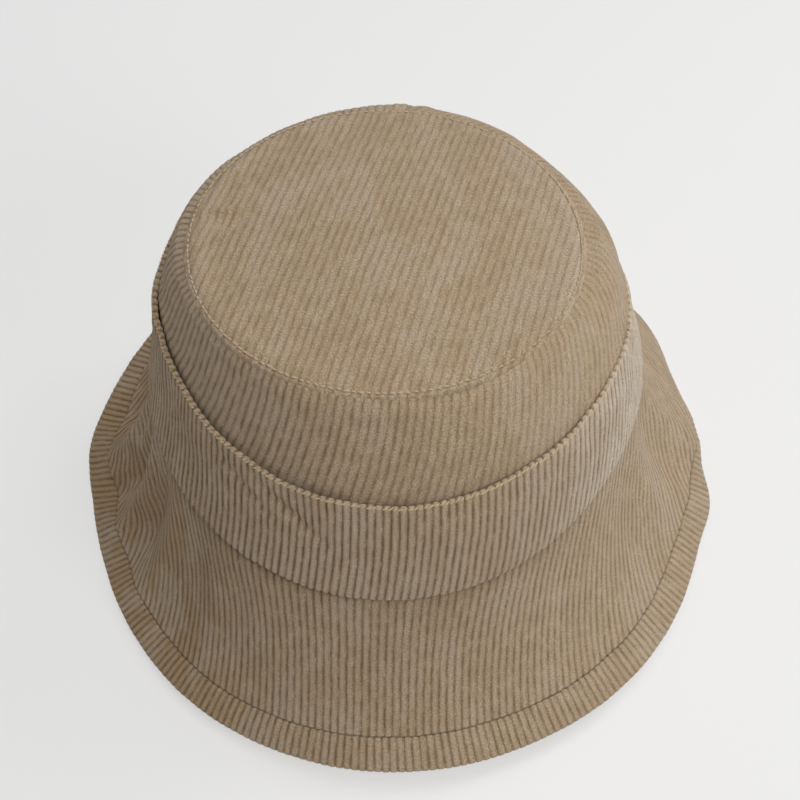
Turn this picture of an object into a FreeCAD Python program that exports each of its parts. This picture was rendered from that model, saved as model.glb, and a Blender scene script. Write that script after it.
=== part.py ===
import FreeCAD, Part
import math
import os
from collections import namedtuple

# Corduroy bucket hat. Millimetres, +Z up, front towards -Y. The origin is under the middle
# of the hat, on the plane that the lowest places of the brim edge rest on.

# ---- Rings that the fabric passes through ----
# half_width is across, half_length is front to back, and rise is the mean height.
# nod lifts the front and drops the back. saddle lifts front and back and drops the sides.
# lean lifts the +X side. shift_x and shift_y move the ring's centre.
Ring = namedtuple("Ring", "half_width half_length rise nod saddle lean shift_x shift_y")
TIP_SEAM = Ring(73.0, 73.0, 153.5, 3.0, 0.0, -2.0, -0.3, -3.5)
BAND_TOP = Ring(88.5, 97.0, 126.0, -2.0, -3.5, 1.5, 3.7, -1.5)
BAND_BASE = Ring(97.0, 102.0, 82.0, -3.5, -6.5, 4.5, 1.7, -4.0)
STRIP_SEAM = Ring(122.5, 133.5, 17.0, -1.5, 5.0, 3.5, 1.2, -3.0)
BRIM_EDGE = Ring(133.5, 146.5, 8.7, -2.0, 4.0, 1.0, 1.7, -0.5)

# Soft waves of the brim and of the crown side: place and spread in degrees round the hat
# from the front towards +X, push outwards and lift upwards at full strength.
Wave = namedtuple("Wave", "place spread push lift")
BRIM_WAVES = (
    Wave(-117, 11.0, 0.2, 3.0),
    Wave(-98, 13.0, 5.8, 1.0),
    Wave(49, 17.0, 0.7, 0.0),
    Wave(80, 6.0, 3.5, 0.5),
    Wave(103, 10.0, -2.5, -1.0),
    Wave(148, 25.0, 4.3, 1.0),
)
CROWN_WAVES = (
    Wave(-155, 25.0, -3.8, 0.0),
    Wave(-125, 25.0, -0.5, 1.0),
    Wave(-88, 14.0, 2.1, 0.5),
    Wave(100, 20.0, -7.5, 0.0),
    Wave(128, 28.0, -7.0, 0.0),
    Wave(170, 30.0, -6.0, 0.0),
)
# Swellings of the upper crown, strongest at a fifth of the way down its side.
CROWN_SWELLS = (
    Wave(-100, 25.0, 3.0, 0.0),
    Wave(95, 22.0, 7.5, 0.0),
    Wave(135, 30.0, 1.5, 0.0),
    Wave(180, 35.0, 4.5, 0.0),
)
CROWN_SWELL_POWERS = (1, 4)
# Swelling of the brim at the right of its back, strongest above the strip's seam, where the
# edge beyond it turns in and down.
BRIM_SWELLS = (
    Wave(97, 12.0, 10.9, 0.0),
    Wave(117, 12.0, 9.5, 0.0),
)
BRIM_SWELL_POWERS = (3, 1)
EDGE_TURNS = (
    Wave(101, 8.0, -8.0, -2.5),
    Wave(115, 12.0, -8.5, -2.0),
)
TURN_POWER = 12

# ---- Fabric thicknesses and the air left between layers ----
CORDUROY = 1.6
BAND_FOLDED = 2.4
EDGE_STRIP = 1.5
STIFFENER = 0.7
INTERLINING = 0.5
LINING = 0.4
SWEATBAND = 0.8
LABEL = 0.4
THREAD = 0.35
THREAD_WIDTH = 0.9
AIR = 0.25
SEAM_GAP = 0.3

# ---- Places on the pieces ----
TIP_DOME = 5.0
BAND_TOP_PLACE = 0.48
BAND_INSET = BAND_FOLDED + AIR
BAND_STAND_OFF = 0.8
BRIM_START_INSET = 1.5
BRIM_START_DROP = 0.8
STRIP_SEAM_PLACE = 0.82
STRIP_ROUND = 2.2
STIFFENER_END = 0.95
TIP_LAYER_INSET = 5.5
TIP_STITCH_INSET = 2.5
STITCH_INSET = 2.0
SWEATBAND_TOP_PLACE = 0.70
INSIDE_END = 0.985
LABEL_PLACES = (0.44, 0.66)
LABEL_ANGLES = (198.0, 212.0)
CROWN_SEAM_ANGLE = 165.0
BRIM_SEAM_ANGLE = 180.0

# ---- Fineness of the point grids behind the curved faces ----
ROUND_STEPS = 144
PLACE_STEPS = 8
TIP_STEPS = 12
END_SHARES = (0.1, 0.4)
DIFFERENCE = 1e-3


def bump(wave, angle):
    """Strength of a wave at an angle, 1 at its middle."""
    turn = math.degrees(angle) - wave.place
    turn = (turn + 180.0) % 360.0 - 180.0
    return math.exp(-((turn / wave.spread) ** 2))


def ring_point(ring, angle, waves=(), strength=1.0):
    """Point of a ring at an angle round the hat, 0 at the front."""
    out_x, out_y = math.sin(angle), -math.cos(angle)
    push = strength * sum(wave.push * bump(wave, angle) for wave in waves)
    lift = strength * sum(wave.lift * bump(wave, angle) for wave in waves)
    height = ring.rise + ring.nod * math.cos(angle)
    height += ring.saddle * math.cos(2.0 * angle) + ring.lean * math.sin(angle)
    return FreeCAD.Vector(
        (ring.half_width + push) * out_x + ring.shift_x,
        (ring.half_length + push) * out_y + ring.shift_y,
        height + lift,
    )


def resized(ring, inset, drop):
    """The ring drawn inwards and lowered."""
    return ring._replace(
        half_width=ring.half_width - inset,
        half_length=ring.half_length - inset,
        rise=ring.rise - drop,
    )


def curve_through(first, middle, last, middle_place, place):
    """Quadratic through three points at places 0, middle_place and 1."""
    m, t = middle_place, place
    weight_first = (t - m) * (t - 1.0) / m
    weight_middle = t * (t - 1.0) / (m * (m - 1.0))
    weight_last = t * (t - m) / (1.0 - m)
    return first * weight_first + middle * weight_middle + last * weight_last


def swell_share(place, powers):
    """Share of a swelling at a place down the hat, 1 where it is widest."""
    rise, fade = powers
    widest = rise / (rise + fade)
    share = place**rise * (1.0 - place) ** fade
    return share / (widest**rise * (1.0 - widest) ** fade)


def swelled(point, angle, place, swells, powers):
    """A point moved outwards by the swellings."""
    push = sum(wave.push * bump(wave, angle) for wave in swells) * swell_share(place, powers)
    return point + FreeCAD.Vector(math.sin(angle), -math.cos(angle), 0.0) * push


def crown_wall(angle, place):
    """Outside face of the crown side, from the tip seam (0) to the brim joint (1)."""
    top = ring_point(resized(TIP_SEAM, 0.0, CORDUROY + AIR), angle)
    middle = ring_point(resized(BAND_TOP, BAND_INSET, 0.0), angle, CROWN_WAVES)
    base = ring_point(resized(BAND_BASE, BAND_INSET, 0.0), angle)
    wall = curve_through(top, middle, base, BAND_TOP_PLACE, place)
    return swelled(wall, angle, place, CROWN_SWELLS, CROWN_SWELL_POWERS)


def brim_face(angle, place):
    """Top face of the brim, from the brim joint (0) to the outer edge (1)."""
    start = ring_point(resized(BAND_BASE, BRIM_START_INSET, BRIM_START_DROP), angle)
    seam = ring_point(STRIP_SEAM, angle, BRIM_WAVES, STRIP_SEAM_PLACE)
    edge = ring_point(BRIM_EDGE, angle, BRIM_WAVES)
    push = sum(wave.push * bump(wave, angle) for wave in EDGE_TURNS)
    lift = sum(wave.lift * bump(wave, angle) for wave in EDGE_TURNS)
    turned = FreeCAD.Vector(push * math.sin(angle), -push * math.cos(angle), lift)
    face = curve_through(start, seam, edge, STRIP_SEAM_PLACE, place)
    face = swelled(face, angle, place, BRIM_SWELLS, BRIM_SWELL_POWERS)
    return face + turned * place**TURN_POWER


def tip_height(x, y):
    """Height of the outside face of the tip over a place in plan."""
    across = (x - TIP_SEAM.shift_x) / TIP_SEAM.half_width
    ahead = (y - TIP_SEAM.shift_y) / TIP_SEAM.half_length
    dome = TIP_DOME * (1.0 - across**2 - ahead**2)
    return TIP_SEAM.rise - TIP_SEAM.nod * ahead + TIP_SEAM.lean * across + dome


def tip_face(angle, place):
    """Outside face of the tip, from its middle (0) to the tip seam (1)."""
    x = TIP_SEAM.shift_x + place * TIP_SEAM.half_width * math.sin(angle)
    y = TIP_SEAM.shift_y - place * TIP_SEAM.half_length * math.cos(angle)
    return FreeCAD.Vector(x, y, tip_height(x, y))


def directions(surface, angle, place):
    """Outward normal, downhill direction and downhill length per unit of place."""
    downhill = surface(angle, place + DIFFERENCE) - surface(angle, place - DIFFERENCE)
    around = surface(angle + DIFFERENCE, place) - surface(angle - DIFFERENCE, place)
    normal = downhill.cross(around).normalize()
    length = downhill.Length / (2.0 * DIFFERENCE)
    return normal, downhill.normalize(), length


def lifted(surface, angle, place, height):
    """Point at a height above a surface, along its outward normal."""
    normal, _, _ = directions(surface, angle, place)
    return surface(angle, place) + normal * height


def spread(low, high, steps):
    return [low + (high - low) * step / steps for step in range(steps + 1)]


def round_angles(seam_angle, radius):
    """Angles once round the hat, stopping a seam gap short of closing, closer at both ends."""
    gap = SEAM_GAP / 2.0 / radius
    start = math.radians(seam_angle) - 2.0 * math.pi
    angles = spread(start + gap, start + 2.0 * math.pi - gap, ROUND_STEPS)
    step = angles[1] - angles[0]
    near_start = [angles[0] + step * share for share in END_SHARES]
    near_end = [angles[-1] - step * share for share in reversed(END_SHARES)]
    return angles[:1] + near_start + angles[1:-1] + near_end + angles[-1:]


def solid_between(upper_grid, lower_grid):
    """Closed solid between two smooth faces, given as matching grids of points."""
    surfaces = []
    for grid in (upper_grid, lower_grid):
        surface = Part.BSplineSurface()
        surface.interpolate(grid)
        surfaces.append(surface)
    faces = [surface.toShape() for surface in surfaces]
    upper, lower = surfaces
    u_low, u_high, v_low, v_high = upper.bounds()
    s_low, s_high, t_low, t_high = lower.bounds()
    borders = [
        (upper.uIso(u_low), lower.uIso(s_low)),
        (upper.uIso(u_high), lower.uIso(s_high)),
        (upper.vIso(v_low), lower.vIso(t_low)),
        (upper.vIso(v_high), lower.vIso(t_high)),
    ]
    for upper_curve, lower_curve in borders:
        faces.append(Part.makeRuledSurface(upper_curve.toShape(), lower_curve.toShape()))
    shell = Part.makeShell(faces)
    shell.sewShape()
    solid = Part.makeSolid(shell)
    if solid.Volume < 0.0:
        solid.reverse()
    return solid


def layer(surface, angles, places, top, thickness):
    """Fabric layer that follows a surface, its upper face at a height above it."""
    upper = [[lifted(surface, a, p, top) for p in places] for a in angles]
    lower = [[lifted(surface, a, p, top - thickness) for p in places] for a in angles]
    return solid_between(upper, lower)


def tip_disc(inset, top, thickness):
    """Domed oval disc that follows the tip."""
    reach_x = TIP_SEAM.half_width + CORDUROY
    reach_y = TIP_SEAM.half_length + CORDUROY
    columns = [TIP_SEAM.shift_x + x for x in spread(-reach_x, reach_x, TIP_STEPS)]
    rows = [TIP_SEAM.shift_y + y for y in spread(-reach_y, reach_y, TIP_STEPS)]
    grids = []
    for height in (top, top - thickness):
        grid = [[FreeCAD.Vector(x, y, tip_height(x, y) + height) for y in rows] for x in columns]
        grids.append(grid)
    slab = solid_between(*grids)
    centre = FreeCAD.Vector(TIP_SEAM.shift_x, TIP_SEAM.shift_y, 0.0)
    back = centre + FreeCAD.Vector(0.0, TIP_SEAM.half_length - inset, 0.0)
    side = centre + FreeCAD.Vector(TIP_SEAM.half_width - inset, 0.0, 0.0)
    outline = Part.Ellipse(back, side, centre)
    disc = Part.Face(Part.Wire(outline.toShape()))
    return slab.common(disc.extrude(FreeCAD.Vector(0, 0, 2.0 * TIP_SEAM.rise)))


def thread_line(surface, angles, place, top):
    """Line of stitching that lies on a surface at one place."""
    _, _, length = directions(surface, 0.0, place)
    half = THREAD_WIDTH / 2.0 / length
    return layer(surface, angles, spread(place - half, place + half, 2), top, THREAD)


def crown_tip():
    return tip_disc(0.0, 0.0, CORDUROY)


def tip_interlining():
    return tip_disc(TIP_LAYER_INSET, -CORDUROY - AIR, INTERLINING)


def lining_tip():
    return tip_disc(TIP_LAYER_INSET, -CORDUROY - INTERLINING - 2.0 * AIR, LINING)


CROWN_ANGLES = round_angles(CROWN_SEAM_ANGLE, TIP_SEAM.half_width)
BRIM_ANGLES = round_angles(BRIM_SEAM_ANGLE, BAND_BASE.half_width)
WALL_PLACES = spread(0.0, 1.0, PLACE_STEPS)
INSIDE_PLACES = spread(0.0, INSIDE_END, PLACE_STEPS)
INTERLINING_TOP = -CORDUROY - AIR
LINING_TOP = INTERLINING_TOP - INTERLINING - AIR
SWEATBAND_TOP = LINING_TOP - LINING - AIR


def crown_side():
    return layer(crown_wall, CROWN_ANGLES, WALL_PLACES, 0.0, CORDUROY)


def side_interlining():
    return layer(crown_wall, CROWN_ANGLES, INSIDE_PLACES, INTERLINING_TOP, INTERLINING)


def lining_side():
    return layer(crown_wall, CROWN_ANGLES, INSIDE_PLACES, LINING_TOP, LINING)


def sweatband():
    places = spread(SWEATBAND_TOP_PLACE, INSIDE_END, PLACE_STEPS)
    return layer(crown_wall, CROWN_ANGLES, places, SWEATBAND_TOP, SWEATBAND)


def care_label():
    angles = spread(math.radians(LABEL_ANGLES[0]), math.radians(LABEL_ANGLES[1]), PLACE_STEPS)
    places = spread(LABEL_PLACES[0], LABEL_PLACES[1], PLACE_STEPS)
    return layer(crown_wall, angles, places, SWEATBAND_TOP, LABEL)


def band_gap(place):
    """Air behind the folded band, which stands off the crown at its top edge."""
    open_share = (1.0 - place) / (1.0 - BAND_TOP_PLACE)
    return AIR + BAND_STAND_OFF * open_share**3


def hat_band():
    places = spread(BAND_TOP_PLACE, 1.0, PLACE_STEPS)
    lower = [[lifted(crown_wall, a, p, band_gap(p)) for p in places] for a in CROWN_ANGLES]
    upper = [
        [lifted(crown_wall, a, p, band_gap(p) + BAND_FOLDED) for p in places]
        for a in CROWN_ANGLES
    ]
    return solid_between(upper, lower)


def brim_places(last):
    _, _, length = directions(brim_face, 0.0, STRIP_SEAM_PLACE)
    return spread(0.0, last - SEAM_GAP / length, PLACE_STEPS)


def brim_top():
    return layer(brim_face, BRIM_ANGLES, brim_places(STRIP_SEAM_PLACE), 0.0, CORDUROY)


def brim_interlining():
    top = -(2.0 * STRIP_ROUND - STIFFENER) / 2.0
    return layer(brim_face, BRIM_ANGLES, brim_places(STIFFENER_END), top, STIFFENER)


def brim_under():
    top = CORDUROY - 2.0 * STRIP_ROUND
    return layer(brim_face, BRIM_ANGLES, brim_places(STRIP_SEAM_PLACE), top, CORDUROY)


def brim_edge_strip():
    """Strip folded round the brim edge, from the top seam round to the seam underneath."""
    grids = []
    for radius in (STRIP_ROUND, STRIP_ROUND - EDGE_STRIP):
        grid = []
        for angle in BRIM_ANGLES:
            _, _, length = directions(brim_face, angle, 1.0)
            turn_place = 1.0 - STRIP_ROUND / length
            arm = spread(STRIP_SEAM_PLACE, turn_place, PLACE_STEPS)
            row = [lifted(brim_face, angle, p, radius - STRIP_ROUND) for p in arm]
            normal, downhill, _ = directions(brim_face, angle, turn_place)
            middle = lifted(brim_face, angle, turn_place, -STRIP_ROUND)
            for turn in spread(0.0, math.pi, PLACE_STEPS)[1:-1]:
                arrow = normal * math.cos(turn) + downhill * math.sin(turn)
                row.append(middle + arrow * radius)
            row += [lifted(brim_face, angle, p, -radius - STRIP_ROUND) for p in reversed(arm)]
            grid.append(row)
        grids.append(grid)
    return solid_between(*grids)


def tip_stitch():
    place = 1.0 - TIP_STITCH_INSET / TIP_SEAM.half_width
    return thread_line(tip_face, CROWN_ANGLES, place, AIR + THREAD)


def band_top_stitch():
    _, _, length = directions(crown_wall, 0.0, BAND_TOP_PLACE)
    place = BAND_TOP_PLACE + STITCH_INSET / length
    top = band_gap(place) + BAND_FOLDED + AIR + THREAD
    return thread_line(crown_wall, CROWN_ANGLES, place, top)


def band_base_stitch():
    _, _, length = directions(crown_wall, 0.0, 1.0)
    place = 1.0 - STITCH_INSET / length
    top = band_gap(place) + BAND_FOLDED + AIR + THREAD
    return thread_line(crown_wall, CROWN_ANGLES, place, top)


def edge_strip_stitch():
    _, _, length = directions(brim_face, 0.0, STRIP_SEAM_PLACE)
    place = STRIP_SEAM_PLACE + THREAD_WIDTH / length
    return thread_line(brim_face, BRIM_ANGLES, place, AIR + THREAD)


def sweatband_stitch():
    _, _, length = directions(crown_wall, 0.0, 1.0)
    place = 1.0 - STITCH_INSET / length
    return thread_line(crown_wall, CROWN_ANGLES, place, SWEATBAND_TOP - SWEATBAND - AIR)


PIECES = (
    crown_tip,
    crown_side,
    hat_band,
    brim_top,
    brim_under,
    brim_interlining,
    brim_edge_strip,
    tip_interlining,
    side_interlining,
    lining_tip,
    lining_side,
    sweatband,
    care_label,
    tip_stitch,
    band_top_stitch,
    band_base_stitch,
    edge_strip_stitch,
    sweatband_stitch,
)

os.makedirs("parts", exist_ok=True)
for piece in PIECES:
    piece().exportStep("parts/" + piece.__name__ + ".step")
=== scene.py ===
import math
from collections import namedtuple

import bpy
import numpy as np
from mathutils import Matrix, Vector


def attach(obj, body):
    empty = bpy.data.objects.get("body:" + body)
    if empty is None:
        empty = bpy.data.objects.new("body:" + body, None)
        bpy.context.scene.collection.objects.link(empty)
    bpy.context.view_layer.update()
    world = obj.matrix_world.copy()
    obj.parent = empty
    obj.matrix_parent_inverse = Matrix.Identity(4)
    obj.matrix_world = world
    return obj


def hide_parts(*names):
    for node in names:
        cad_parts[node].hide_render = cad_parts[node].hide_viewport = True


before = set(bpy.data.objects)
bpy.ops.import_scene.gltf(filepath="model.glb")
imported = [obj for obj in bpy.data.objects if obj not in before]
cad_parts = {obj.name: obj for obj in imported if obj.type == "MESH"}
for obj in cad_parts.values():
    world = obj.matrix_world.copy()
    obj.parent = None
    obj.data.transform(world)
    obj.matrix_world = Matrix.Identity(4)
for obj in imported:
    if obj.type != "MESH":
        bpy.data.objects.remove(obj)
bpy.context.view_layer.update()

BODY = "root"

# ---------------------------------------------------------------- shape of the hat, in metres
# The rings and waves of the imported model: half width across (x), half length front to back (y),
# mean height, then how far the front, the front and back, and the +X side are lifted, and the
# shift of the ring's centre.
Ring = namedtuple("Ring", "half_width half_length rise nod saddle lean shift_x shift_y")
TIP_SEAM = Ring(0.0730, 0.0730, 0.1535, 0.0030, 0.0, -0.0020, -0.0003, -0.0035)
BAND_TOP = Ring(0.0885, 0.0970, 0.1260, -0.0020, -0.0035, 0.0015, 0.0037, -0.0015)
BAND_BASE = Ring(0.0970, 0.1020, 0.0820, -0.0035, -0.0065, 0.0045, 0.0017, -0.0040)
STRIP_SEAM = Ring(0.1225, 0.1335, 0.0170, -0.0015, 0.0050, 0.0035, 0.0012, -0.0030)
BRIM_EDGE = Ring(0.1335, 0.1465, 0.0087, -0.0020, 0.0040, 0.0010, 0.0017, -0.0005)

# A wave's place and spread in degrees round the hat from the front towards +X.
Wave = namedtuple("Wave", "place spread push lift")
BRIM_WAVES = (
    Wave(-117, 11.0, 0.0002, 0.0030),
    Wave(-98, 13.0, 0.0058, 0.0010),
    Wave(49, 17.0, 0.0007, 0.0),
    Wave(80, 6.0, 0.0035, 0.0005),
    Wave(103, 10.0, -0.0025, -0.0010),
    Wave(148, 25.0, 0.0043, 0.0010),
)
CROWN_WAVES = (
    Wave(-155, 25.0, -0.0038, 0.0),
    Wave(-125, 25.0, -0.0005, 0.0010),
    Wave(-88, 14.0, 0.0021, 0.0005),
    Wave(100, 20.0, -0.0075, 0.0),
    Wave(128, 28.0, -0.0070, 0.0),
    Wave(170, 30.0, -0.0060, 0.0),
)
# Swellings of the upper crown, strongest at a fifth of the way down its side.
CROWN_SWELLS = (
    Wave(-100, 25.0, 0.0030, 0.0),
    Wave(95, 22.0, 0.0075, 0.0),
    Wave(135, 30.0, 0.0015, 0.0),
    Wave(180, 35.0, 0.0045, 0.0),
)
CROWN_SWELL_POWERS = (1, 4)
# Swelling of the brim at the right of its back, strongest above the strip's seam, where the
# edge beyond it turns in and down.
BRIM_SWELLS = (
    Wave(97, 12.0, 0.0109, 0.0),
    Wave(117, 12.0, 0.0095, 0.0),
)
BRIM_SWELL_POWERS = (3, 1)
EDGE_TURNS = (
    Wave(101, 8.0, -0.0080, -0.0025),
    Wave(115, 12.0, -0.0085, -0.0020),
)
TURN_POWER = 12

CORDUROY = 0.0016
BAND_FOLDED = 0.0024
AIR = 0.00025
TIP_DOME = 0.005
BAND_TOP_PLACE = 0.48
BAND_INSET = BAND_FOLDED + AIR
BAND_STAND_OFF = 0.0008
BRIM_START_INSET = 0.0015
BRIM_START_DROP = 0.0008
STRIP_SEAM_PLACE = 0.82
STRIP_ROUND = 0.0022
BRIM_UNDER_FACE = -2.0 * STRIP_ROUND
TIP_LAYER_INSET = 0.0055
SWEATBAND_TOP_PLACE = 0.70
LINING_FACE = -0.0026
SWEATBAND_FACE = -0.0033
CROWN_TURN = math.radians(-15.0)
TIP_TURN = math.radians(-16.5)
DIFFERENCE = 1e-4


def bump(wave, angle):
    """Strength of a wave at an angle, 1 at its middle."""
    turn = (np.degrees(angle) - wave.place + 180.0) % 360.0 - 180.0
    return np.exp(-((turn / wave.spread) ** 2))


def ring_points(ring, angle, waves=(), strength=1.0):
    """Points of a ring at angles round the hat, 0 at the front."""
    push = strength * sum((wave.push * bump(wave, angle) for wave in waves), 0.0 * angle)
    lift = strength * sum((wave.lift * bump(wave, angle) for wave in waves), 0.0 * angle)
    height = ring.rise + ring.nod * np.cos(angle)
    height = height + ring.saddle * np.cos(2.0 * angle) + ring.lean * np.sin(angle)
    x = (ring.half_width + push) * np.sin(angle) + ring.shift_x
    y = -(ring.half_length + push) * np.cos(angle) + ring.shift_y
    return np.stack([x, y, height + lift], -1)


def resized(ring, inset, drop):
    """The ring drawn inwards and lowered."""
    return ring._replace(
        half_width=ring.half_width - inset,
        half_length=ring.half_length - inset,
        rise=ring.rise - drop,
    )


def curve_through(first, middle, last, middle_place, place):
    """Quadratic through three points at places 0, middle_place and 1."""
    m, t = middle_place, place[..., None]
    weight_first = (t - m) * (t - 1.0) / m
    weight_middle = t * (t - 1.0) / (m * (m - 1.0))
    weight_last = t * (t - m) / (1.0 - m)
    return first * weight_first + middle * weight_middle + last * weight_last


def swell_share(place, powers):
    """Share of a swelling at a place down the hat, 1 where it is widest."""
    rise, fade = powers
    widest = rise / (rise + fade)
    share = place**rise * (1.0 - place) ** fade
    return share / (widest**rise * (1.0 - widest) ** fade)


def swelled(points, angle, place, swells, powers):
    """Points moved outwards by the swellings."""
    push = sum(wave.push * bump(wave, angle) for wave in swells) * swell_share(place, powers)
    outward = np.stack([np.sin(angle), -np.cos(angle), 0.0 * angle], -1)
    return points + outward * push[..., None]


def crown_wall(angle, place):
    """Outside face of the crown side, from the tip seam (0) to the brim joint (1)."""
    top = ring_points(resized(TIP_SEAM, 0.0, CORDUROY + AIR), angle)
    middle = ring_points(resized(BAND_TOP, BAND_INSET, 0.0), angle, CROWN_WAVES)
    base = ring_points(resized(BAND_BASE, BAND_INSET, 0.0), angle)
    wall = curve_through(top, middle, base, BAND_TOP_PLACE, place)
    return swelled(wall, angle, place, CROWN_SWELLS, CROWN_SWELL_POWERS)


def brim_face(angle, place):
    """Top face of the brim, from the brim joint (0) to the outer edge (1)."""
    start = ring_points(resized(BAND_BASE, BRIM_START_INSET, BRIM_START_DROP), angle)
    seam = ring_points(STRIP_SEAM, angle, BRIM_WAVES, STRIP_SEAM_PLACE)
    edge = ring_points(BRIM_EDGE, angle, BRIM_WAVES)
    push = sum(wave.push * bump(wave, angle) for wave in EDGE_TURNS)
    lift = sum(wave.lift * bump(wave, angle) for wave in EDGE_TURNS)
    turned = np.stack([push * np.sin(angle), -push * np.cos(angle), lift], -1)
    share = (place**TURN_POWER)[..., None]
    face = curve_through(start, seam, edge, STRIP_SEAM_PLACE, place)
    face = swelled(face, angle, place, BRIM_SWELLS, BRIM_SWELL_POWERS)
    return face + turned * share


def tip_height(x, y):
    """Height of the outside face of the tip over a place in plan."""
    across = (x - TIP_SEAM.shift_x) / TIP_SEAM.half_width
    ahead = (y - TIP_SEAM.shift_y) / TIP_SEAM.half_length
    dome = TIP_DOME * (1.0 - across**2 - ahead**2)
    return TIP_SEAM.rise - TIP_SEAM.nod * ahead + TIP_SEAM.lean * across + dome


def tip_face(angle, place):
    """Outside face of the tip, from its middle (0) to the tip seam (1)."""
    x = TIP_SEAM.shift_x + place * TIP_SEAM.half_width * np.sin(angle)
    y = TIP_SEAM.shift_y - place * TIP_SEAM.half_length * np.cos(angle)
    return np.stack([x, y, tip_height(x, y)], -1)


def unit(vectors):
    return vectors / np.linalg.norm(vectors, axis=-1, keepdims=True)


def directions(surface, angle, place):
    """Outward normal, downhill direction, direction round, and downhill length per place."""
    downhill = surface(angle, place + DIFFERENCE) - surface(angle, place - DIFFERENCE)
    around = surface(angle + DIFFERENCE, place) - surface(angle - DIFFERENCE, place)
    length = np.linalg.norm(downhill, axis=-1) / (2.0 * DIFFERENCE)
    return unit(np.cross(downhill, around)), unit(downhill), unit(around), length


def laid(surface, angle, place, height, ahead=0.0):
    """Points at heights above a surface, moved ahead downhill along it."""
    angle, place, height, ahead = np.broadcast_arrays(angle, place, height, ahead)
    normal, downhill, _, _ = directions(surface, angle, place)
    return surface(angle, place) + normal * height[..., None] + downhill * ahead[..., None]


# ---------------------------------------------------------------- soft unevenness of the cloth
LATTICE = 64


def soft_noise(x, y, seed):
    """Smooth random field from -1 to 1 with features about one unit wide."""
    lattice = np.random.default_rng(seed).uniform(-1.0, 1.0, (LATTICE, LATTICE))
    x, y = np.broadcast_arrays(x, y)
    left, low = np.floor(x).astype(int), np.floor(y).astype(int)
    part_x, part_y = x - left, y - low
    part_x = part_x * part_x * (3.0 - 2.0 * part_x)
    part_y = part_y * part_y * (3.0 - 2.0 * part_y)

    def at(i, j):
        return lattice[(left + i) % LATTICE, (low + j) % LATTICE]

    near = at(0, 0) * (1.0 - part_x) + at(1, 0) * part_x
    far = at(0, 1) * (1.0 - part_x) + at(1, 1) * part_x
    return near * (1.0 - part_y) + far * part_y


def hump(value, middle, width):
    return np.exp(-(((value - middle) / width) ** 2))


# Soft folds that run down the brim: place and spread in degrees, then height.
Fold = namedtuple("Fold", "place spread height")
BRIM_FOLDS = (
    Fold(-114, 3.2, 0.0036),
    Fold(-103, 3.0, -0.0054),
    Fold(-94, 2.6, 0.0046),
    Fold(-86, 2.5, -0.0046),
    Fold(-78.5, 2.6, 0.0036),
    Fold(-71, 2.8, -0.0030),
    Fold(-63, 3.4, 0.0016),
    Fold(-52, 5.0, -0.0010),
    Fold(60, 5.0, -0.0013),
    Fold(71, 4.0, 0.0018),
    Fold(82, 4.0, -0.0022),
    Fold(91, 3.4, 0.0020),
    Fold(112, 5.0, 0.0010),
)
ROUND_LENGTH = 0.115
BRIM_LENGTH = 0.080
WALL_LENGTH = 0.090
WALL_ROUND_LENGTH = 0.085
BAND_ROUND_LENGTH = 0.095
INNER_RADIUS = 0.090

# Random unevenness: its height, the size of its features round and down the hat, its seed.
Sway = namedtuple("Sway", "height around down seed")
BRIM_SWAYS = (Sway(0.0008, 0.038, 0.045, 11), Sway(0.0003, 0.013, 0.030, 12))
BRIM_CRUMPLES = (Sway(0.0019, 0.0080, 0.013, 14), Sway(0.0010, 0.0042, 0.008, 15))
BRIM_CRUMPLED = (Fold(-92.0, 24.0, 1.0), Fold(80.0, 20.0, 0.3))
STRIP_PUCKER = Sway(0.0004, 0.0075, 0.030, 13)
STRIP_PUCKER_REACH = 0.011
FOLD_START = 0.04
WALL_SWAYS = (Sway(0.0006, 0.035, 0.030, 21), Sway(0.0002, 0.011, 0.016, 22))


def swayed(sways, around, down):
    """Height of random unevenness at distances round and down the hat."""
    return sum(
        sway.height * soft_noise(around / sway.around, down / sway.down, sway.seed)
        for sway in sways
    )


def raised(folds, degrees):
    """Height of folds at an angle in degrees that isn't taken past half a turn."""
    return sum(fold.height * hump(degrees, fold.place, fold.spread) for fold in folds)


def brim_sag(angle, place):
    """How far the brim stands out from its smooth shape."""
    around, down = angle * ROUND_LENGTH, place * BRIM_LENGTH
    seam = hump(down, STRIP_SEAM_PLACE * BRIM_LENGTH, STRIP_PUCKER_REACH)
    sag = swayed(BRIM_SWAYS, around, down) + seam * swayed([STRIP_PUCKER], around, down)
    degrees = np.degrees(angle)
    free = np.clip(place * (1.0 - FOLD_START) + FOLD_START, 0.0, 1.0)
    middle = np.clip(np.sin(np.pi * free), 0.0, 1.0)
    sag = sag + swayed(BRIM_CRUMPLES, around, down) * middle * raised(BRIM_CRUMPLED, degrees)
    return sag + middle * sum(fold.height * bump(fold, angle) for fold in BRIM_FOLDS)


def wall_sag(angle, place):
    """How far the crown side and what lies on it stand out from the smooth shape."""
    return swayed(WALL_SWAYS, angle * WALL_ROUND_LENGTH, place * WALL_LENGTH)


BAND_PUCKER = Sway(0.00055, 0.008, 0.014, 31)
BAND_PUCKER_MIDDLE = 0.008
BAND_PUCKER_REACH = 0.012
# A slanting crease: its depth, its place at the band's top edge in degrees, its slant in
# degrees per metre down, its spread in degrees, and its middle and reach down the band.
Crease = namedtuple("Crease", "depth place slant spread middle reach")
BAND_CREASES = (
    Crease(0.0015, -38.0, 900.0, 2.6, 0.014, 0.010),
    Crease(0.00105, -52.0, 1100.0, 2.2, 0.012, 0.008),
)
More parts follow.
